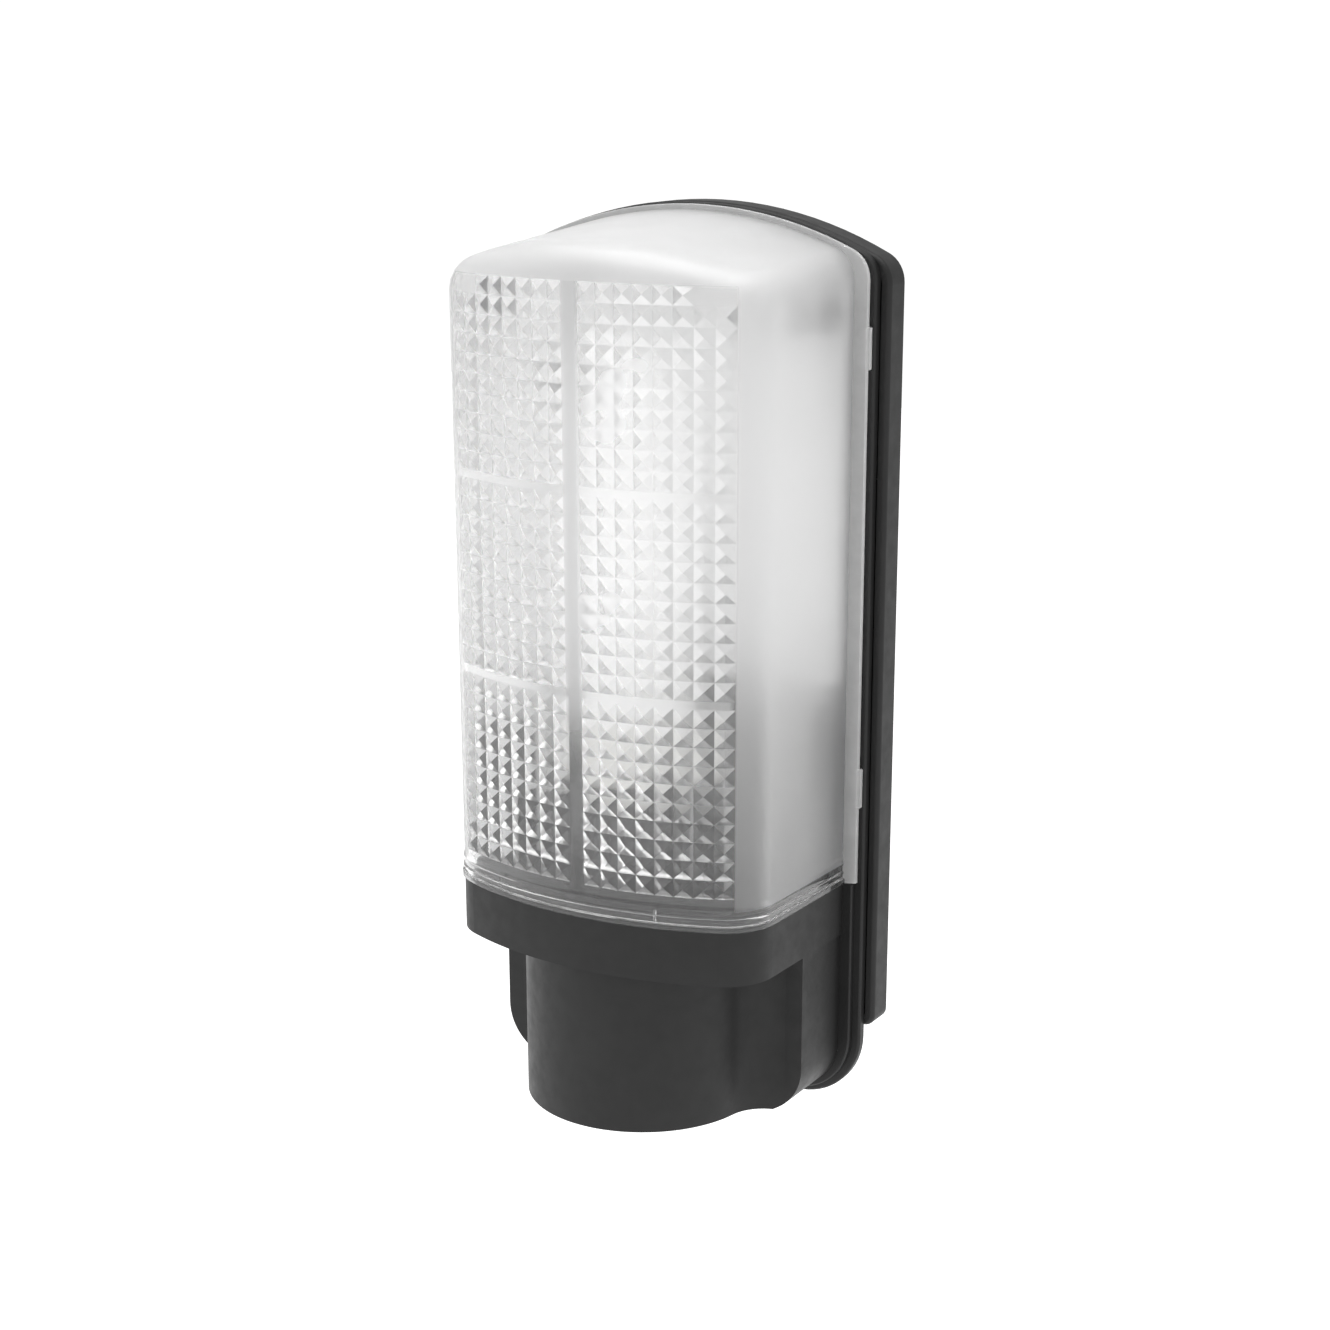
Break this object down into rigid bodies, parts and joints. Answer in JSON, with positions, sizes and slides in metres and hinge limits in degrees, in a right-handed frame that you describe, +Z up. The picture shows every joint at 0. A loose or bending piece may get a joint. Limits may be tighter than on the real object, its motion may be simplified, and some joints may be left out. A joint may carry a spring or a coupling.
{
  "type": "outdoor wall bulkhead light",
  "caption": "Black wall bulkhead light with a tall bowed prismatic diffuser, arched top, hanging cylindrical sensor housing and arched back plate.",
  "frame": {"origin": "centre of the back plate's wall face", "axes": "+Z up, +X to the viewer's right when facing the light, +Y into the wall; the light stands out towards -Y"},
  "size_m": [0.112, 0.0712, 0.2424],
  "materials": {
    "black_plastic": "moulded polycarbonate, fine satin grain",
    "diffuser_clear": "clear polycarbonate, frosted sides, prismatic front",
    "black_rubber": "matt",
    "white_paint": "white stoved enamel",
    "phenolic": "moulded phenolic",
    "nickel": "nickel plated",
    "brass": "plain",
    "zinc_steel": "zinc plated",
    "white_plastic": "satin",
    "opal": "opal white",
    "board_green": "solder mask",
    "relay_case": "moulded",
    "capacitor_case": "moulded",
    "can_sleeve": "shrink sleeve",
    "sensor_body": "lacquered ceramic",
    "smoked_clear": "smoked clear",
    "natural_polyamide": "natural",
    "brown_insulation": "PVC",
    "blue_insulation": "PVC"
  },
  "bodies": {
    "base": {"back_plate": "black_plastic", "base_screws": "zinc_steel", "base_tray": "black_plastic", "board_screws": "zinc_steel", "bracket_screws": "zinc_steel", "cable_grommet": "black_rubber", "control_board": "board_green", "cover_screws": "zinc_steel", "dropper_capacitor": "capacitor_case", "housing_screws": "zinc_steel", "lamp_live_wire": "brown_insulation", "lamp_neutral_wire": "blue_insulation", "lampholder_body": "phenolic", "lampholder_bracket": "zinc_steel", "lampholder_centre_contact": "brass", "lampholder_screws": "zinc_steel", "lampholder_shell": "nickel", "light_sensor": "sensor_body", "live_wire": "brown_insulation", "lower_housing": "black_plastic", "neutral_wire": "blue_insulation", "reflector": "white_paint", "reflector_screws": "zinc_steel", "relay": "relay_case", "rim_gasket": "black_rubber", "sensor_window": "smoked_clear", "smoothing_capacitor": "can_sleeve", "terminal_block": "natural_polyamide", "terminal_screws": "zinc_steel", "terminal_tubes": "brass", "wiring_cover": "black_plastic"},
    "diffuser": {"diffuser": "diffuser_clear"},
    "lamp": {"lamp_cap": "nickel", "lamp_insulator": "phenolic", "lamp_tip_contact": "nickel", "lamp_collar": "white_plastic", "lamp_globe": "opal"}
  },
  "joints": [
    {"name": "diffuser_pull", "type": "slide", "parent": "base", "child": "diffuser", "axis": [0, -1, 0], "range_m": [0, 0.065]},
    {"name": "lamp_twist", "type": "hinge", "parent": "base", "child": "lamp", "pos_m": [0, -0.0371, 0], "axis": [0, 0, 1], "range_deg": [0, 1080]}
  ]
}
